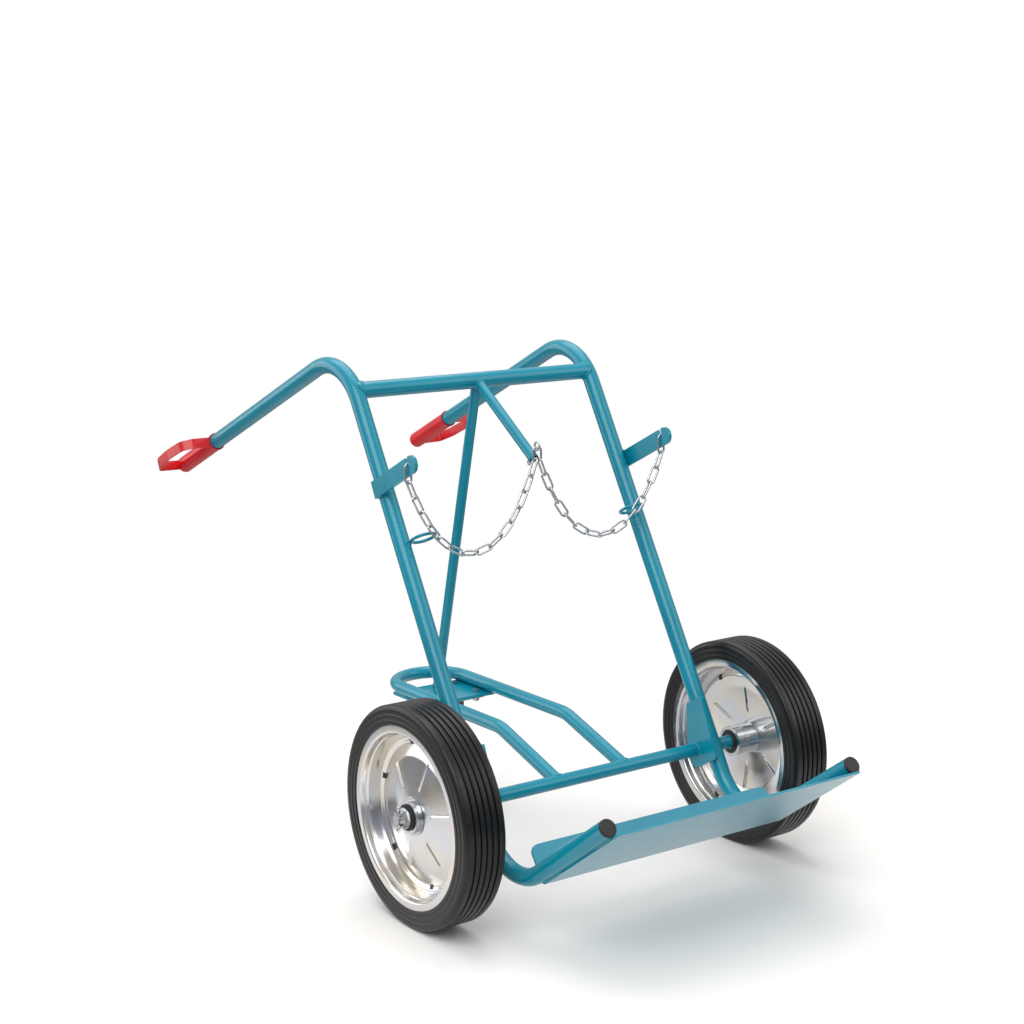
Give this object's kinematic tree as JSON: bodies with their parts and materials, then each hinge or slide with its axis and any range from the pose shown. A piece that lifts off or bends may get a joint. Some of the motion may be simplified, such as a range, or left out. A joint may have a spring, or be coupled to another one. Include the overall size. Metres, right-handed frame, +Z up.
{
  "type": "cylinder hand truck",
  "caption": "Tubular hand truck for tall gas bottles, parked on two road wheels and a swivel castor, with hook bars, retaining chains, a toe plate and guarded grips.",
  "frame": {"origin": "on the floor, straight below the middle of the road wheels' axle", "axes": "+Z up, -Y towards the toe plate, +Y towards the grips and the castor, +X to the operator's left"},
  "size_m": [0.8584, 1.5036, 0.9643],
  "materials": {
    "blue_paint": "glossy powder coat",
    "red_plastic": "semi-gloss",
    "black_plastic": "matt",
    "castor_plastic": "matt",
    "tyre_rubber": "matt",
    "seal_rubber": "matt",
    "rim_zinc": "yellow zinc plate",
    "zinc": "bright zinc plate",
    "steel": "ground steel"
  },
  "bodies": {
    "frame": {"left_side_tube": "blue_paint", "right_side_tube": "blue_paint", "upper_cross_tube": "blue_paint", "axle_tube": "blue_paint", "left_axle_plate": "blue_paint", "right_axle_plate": "blue_paint", "rear_bow": "blue_paint", "castor_mount": "blue_paint", "brace_tube": "blue_paint", "centre_arm": "blue_paint", "eye_bolt": "zinc", "eye_nut": "zinc", "connecting_link": "zinc", "left_hook_bar": "blue_paint", "right_hook_bar": "blue_paint", "left_tool_loop": "blue_paint", "right_tool_loop": "blue_paint", "toe_plate": "blue_paint", "left_toe_cap": "black_plastic", "right_toe_cap": "black_plastic", "left_grip": "red_plastic", "right_grip": "red_plastic", "axle": "steel", "axle_washers": "zinc", "axle_nuts": "zinc", "split_pins": "zinc", "castor_top_plate": "zinc", "castor_kingpin": "zinc", "castor_bolts": "zinc", "castor_nuts": "zinc"},
    "left_wheel": {"left_wheel_rim": "rim_zinc", "left_wheel_disc": "rim_zinc", "left_wheel_tyre": "tyre_rubber", "left_wheel_hub": "zinc", "left_hub_bearings": "steel", "left_hub_seals": "seal_rubber"},
    "right_wheel": {"right_wheel_rim": "rim_zinc", "right_wheel_disc": "rim_zinc", "right_wheel_tyre": "tyre_rubber", "right_wheel_hub": "zinc", "right_hub_bearings": "steel", "right_hub_seals": "seal_rubber"},
    "castor_fork": {"castor_fork": "zinc", "castor_balls": "steel", "castor_dust_ring": "seal_rubber", "castor_axle_bolt": "zinc", "castor_axle_nut": "zinc", "castor_sleeve": "steel"},
    "castor_wheel": {"castor_rim": "castor_plastic", "castor_roller_bearing": "steel", "castor_tyre": "tyre_rubber"},
    "left_chain": {"left_chain": "zinc"},
    "right_chain": {"right_chain": "zinc"}
  },
  "joints": [
    {"name": "left_wheel_spin", "type": "hinge", "parent": "frame", "child": "left_wheel", "pos_m": [0.372, 0, 0.2], "axis": [1, 0, 0], "continuous": true},
    {"name": "right_wheel_spin", "type": "hinge", "parent": "frame", "child": "right_wheel", "pos_m": [-0.372, 0, 0.2], "axis": [1, 0, 0], "continuous": true},
    {"name": "castor_swivel", "type": "hinge", "parent": "frame", "child": "castor_fork", "pos_m": [0, 0.505, 0.2], "axis": [0, 0, 1], "continuous": true},
    {"name": "castor_spin", "type": "hinge", "parent": "castor_fork", "child": "castor_wheel", "pos_m": [0, 0.56, 0.1], "axis": [1, 0, 0], "continuous": true},
    {"name": "left_chain_swing", "type": "hinge", "parent": "frame", "child": "left_chain", "pos_m": [0.292, 0.1538, 0.7952], "axis": [-0.9961, 0.036, -0.0809], "range_deg": [-1, 40]},
    {"name": "right_chain_swing", "type": "hinge", "parent": "frame", "child": "right_chain", "pos_m": [-0.292, 0.1538, 0.7952], "axis": [-0.9961, -0.036, 0.0809], "range_deg": [-1, 40]}
  ]
}
